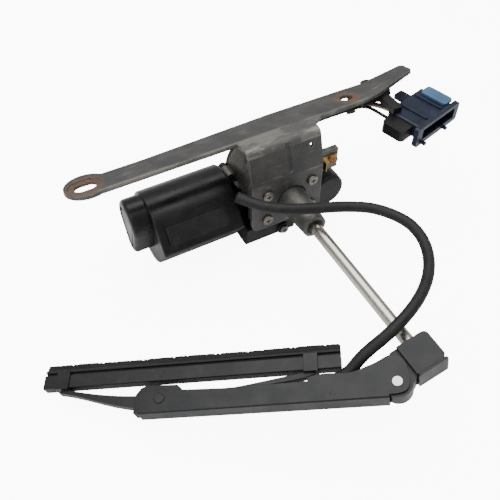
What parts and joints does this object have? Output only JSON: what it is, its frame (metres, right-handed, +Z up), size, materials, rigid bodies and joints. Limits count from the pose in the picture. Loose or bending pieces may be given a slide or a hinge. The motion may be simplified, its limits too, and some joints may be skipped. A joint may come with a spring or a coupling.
{
  "type": "headlamp wiper assembly",
  "caption": "Motor-driven wiper unit on a slotted bracket with worm gearbox, long shaft, sprung arm, short blade, washer hose and plug.",
  "frame": {"origin": "centre of the bracket's round hole, on the flange's top face", "axes": "+Z up, +X along the flange towards the plug; the output shaft points along -Y"},
  "size_m": [0.3235, 0.2161, 0.0979],
  "materials": {
    "bracket_paint": "worn satin grey paint over pressed steel",
    "cast_aluminium": "as cast",
    "zinc_steel": "zinc plated",
    "black_plastic": "matte",
    "satin_black_plastic": "satin",
    "black_rubber": "matte",
    "hose_rubber": "matte",
    "sintered_bronze": "oil-filled",
    "white_nylon": "moulded",
    "copper": "enamelled",
    "stainless_steel": "ground",
    "motor_steel": "black phosphate",
    "label": "blank label",
    "ferrite": "sintered",
    "rusty_steel": "rusted",
    "brass": "stamped",
    "circuit_board": "fibre board",
    "arm_paint": "satin black paint",
    "blue_plastic": "moulded",
    "light_blue_plastic": "moulded",
    "black_wire": "insulation",
    "brown_wire": "insulation",
    "yellow_wire": "insulation"
  },
  "bodies": {
    "frame": {"brush_holder": "black_plastic", "brush_springs": "zinc_steel", "carbon_brushes": "ferrite", "connector_housing": "blue_plastic", "connector_lock": "light_blue_plastic", "connector_rear_cover": "black_plastic", "contact_board": "circuit_board", "contact_springs": "brass", "cover_gasket": "black_rubber", "cover_screws": "zinc_steel", "earth_screw": "rusty_steel", "earth_tab": "brass", "end_cap": "satin_black_plastic", "gear_cover": "black_plastic", "gearbox_housing": "cast_aluminium", "gearbox_screws": "zinc_steel", "harness_clip": "black_plastic", "harness_sleeve": "black_rubber", "label_plate": "label", "lower_shroud": "black_plastic", "magnets": "ferrite", "motor_bushes": "sintered_bronze", "motor_can": "motor_steel", "motor_cover": "satin_black_plastic", "mounting_bracket": "bracket_paint", "shaft_bushes": "sintered_bronze", "shaft_seal": "black_rubber", "terminals": "brass", "thrust_pad": "white_nylon", "washer_hose": "hose_rubber", "wire_black": "black_wire", "wire_black_lower": "black_wire", "wire_brown": "brown_wire", "wire_grommet": "black_rubber", "wire_yellow": "yellow_wire"},
    "armature": {"armature_shaft": "stainless_steel", "armature_core": "motor_steel", "armature_windings": "copper", "commutator": "copper", "worm": "zinc_steel"},
    "output": {"output_shaft": "stainless_steel", "worm_wheel": "white_nylon", "park_disc": "copper", "thrust_washer": "zinc_steel", "retaining_clip": "zinc_steel", "arm_head": "arm_paint", "shaft_nut": "zinc_steel", "nut_cover": "arm_paint", "spring_anchor": "zinc_steel"},
    "arm": {"arm_channel": "arm_paint", "pivot_pin": "stainless_steel", "arm_spring": "zinc_steel", "spring_hook_pin": "zinc_steel", "washer_nozzle": "black_plastic", "blade_pin": "stainless_steel", "blade_adaptor": "black_plastic"},
    "blade": {"blade_bow": "arm_paint", "blade_holder": "black_plastic", "backing_strips": "stainless_steel", "wiper_rubber": "black_rubber"}
  },
  "joints": [
    {"name": "wiper_sweep", "type": "hinge", "parent": "frame", "child": "output", "pos_m": [-0.06, -0.03031, -0.04], "axis": [0, 1, 0], "range_deg": [0, 60], "deforming": ["washer_hose"]},
    {"name": "armature_spin", "type": "hinge", "parent": "frame", "child": "armature", "pos_m": [-0.06, 0.00369, -0.0645], "axis": [1, 0, 0], "range_deg": [0, 2400]},
    {"name": "arm_lift", "type": "hinge", "parent": "output", "child": "arm", "pos_m": [-0.07941, -0.18, -0.04484], "axis": [-0.2419, 0, 0.9703], "range_deg": [0, 85], "stiffness_Nm_per_rad": 0.15, "springref_deg": -11.46, "deforming": ["arm_spring"]},
    {"name": "blade_rock", "type": "hinge", "parent": "arm", "child": "blade", "pos_m": [-0.19234, -0.11361, -0.073], "axis": [-0.2419, 0, 0.9703], "range_deg": [-2, 7]}
  ],
  "couplings": [
    {"joint": "armature_spin", "follows": "wiper_sweep", "ratio": 40}
  ]
}
